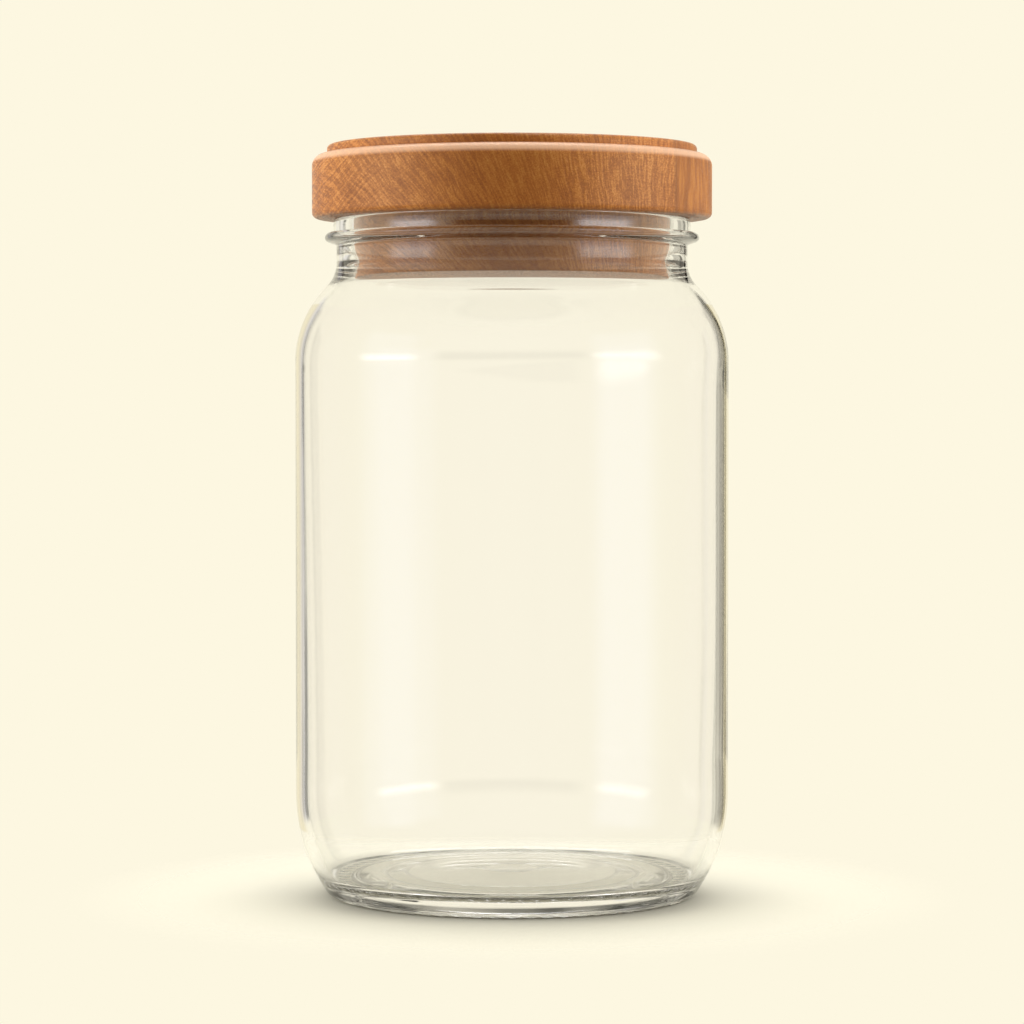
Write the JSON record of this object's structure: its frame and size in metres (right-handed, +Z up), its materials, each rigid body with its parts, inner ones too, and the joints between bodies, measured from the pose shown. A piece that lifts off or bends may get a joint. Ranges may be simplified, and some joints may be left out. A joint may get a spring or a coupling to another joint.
{
  "type": "glass jar with wooden lid",
  "caption": "Empty clear glass storage jar with a round shoulder and heel, closed by a turned wooden lid whose plug sits in the mouth.",
  "frame": {"origin": "middle of the jar's base, on the surface it stands on", "axes": "+Z up the jar's axis, -Y towards the side that is seen first, +X to its right"},
  "size_m": [0.0892, 0.0892, 0.1543],
  "materials": {
    "clear_glass": "clear soda-lime glass, fire-polished outside, very slightly green",
    "turned_wood": "turned and sanded reddish-brown hardwood with a satin oil finish"
  },
  "bodies": {
    "root": {"jar": "clear_glass", "lid": "turned_wood"}
  },
  "joints": []
}
